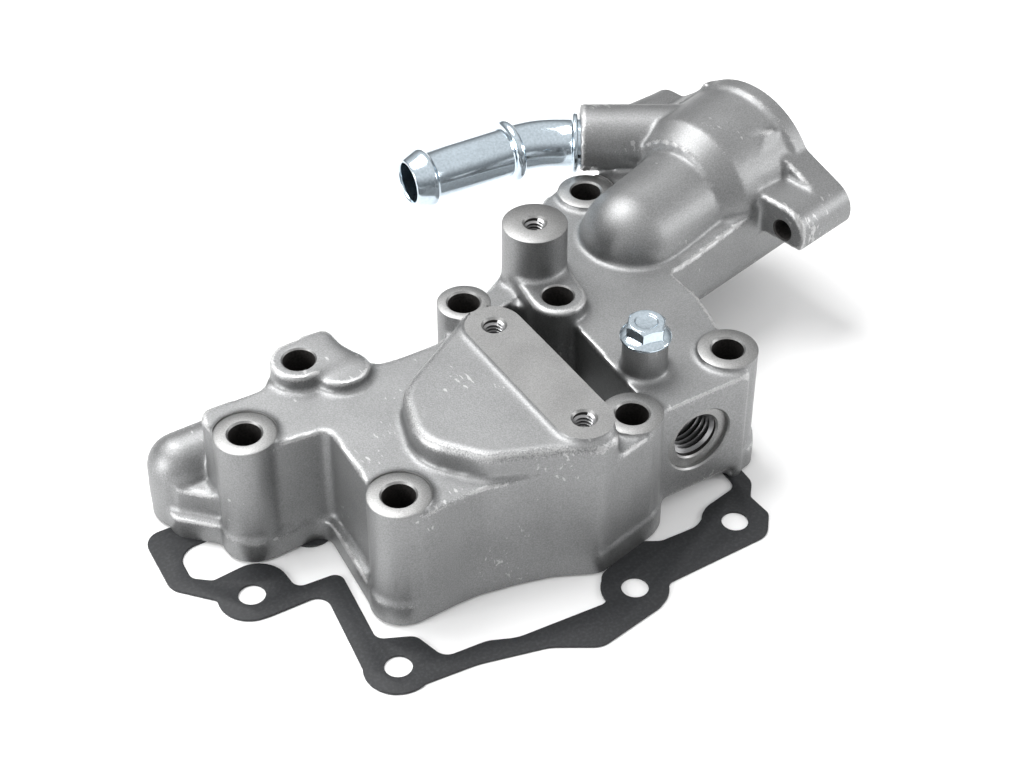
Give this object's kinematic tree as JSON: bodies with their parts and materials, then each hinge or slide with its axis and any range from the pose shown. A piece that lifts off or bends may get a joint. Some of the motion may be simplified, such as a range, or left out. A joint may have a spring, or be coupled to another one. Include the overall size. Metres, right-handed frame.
{
  "type": "thermostat housing",
  "caption": "Cast aluminium coolant housing with bolt bosses, a side neck holding a wax thermostat, a plated hose nozzle, a bleed screw and a flange gasket.",
  "frame": {"origin": "on the axis of bolt hole F, in the gasket face", "axes": "+Z away from the engine, -Y out of the sensor port's wall, the long wing towards -X"},
  "size_m": [0.2279, 0.1606, 0.0633],
  "materials": {
    "cast_metal": "shot-blasted satin",
    "plated_steel": "clear zinc",
    "gasket_fibre": "matt",
    "seal_rubber": "satin",
    "stainless_steel": "stamped",
    "capsule_brass": "turned"
  },
  "bodies": {
    "casting": {"housing": "cast_metal", "gasket": "gasket_fibre", "hose_nozzle": "plated_steel", "bleed_screw": "plated_steel", "thermostat_seal": "seal_rubber", "thermostat_frame": "stainless_steel", "piston_pin": "stainless_steel", "spring_bracket": "stainless_steel", "main_spring": "stainless_steel"},
    "valve": {"thermostat_valve": "stainless_steel", "wax_capsule": "capsule_brass"}
  },
  "joints": [
    {"name": "valve_opening", "type": "slide", "parent": "casting", "child": "valve", "axis": [-0.9781, -0.2079, 0], "range_m": [0, 0.007], "stiffness_N_per_m": 2500, "deforming": ["main_spring"]}
  ]
}
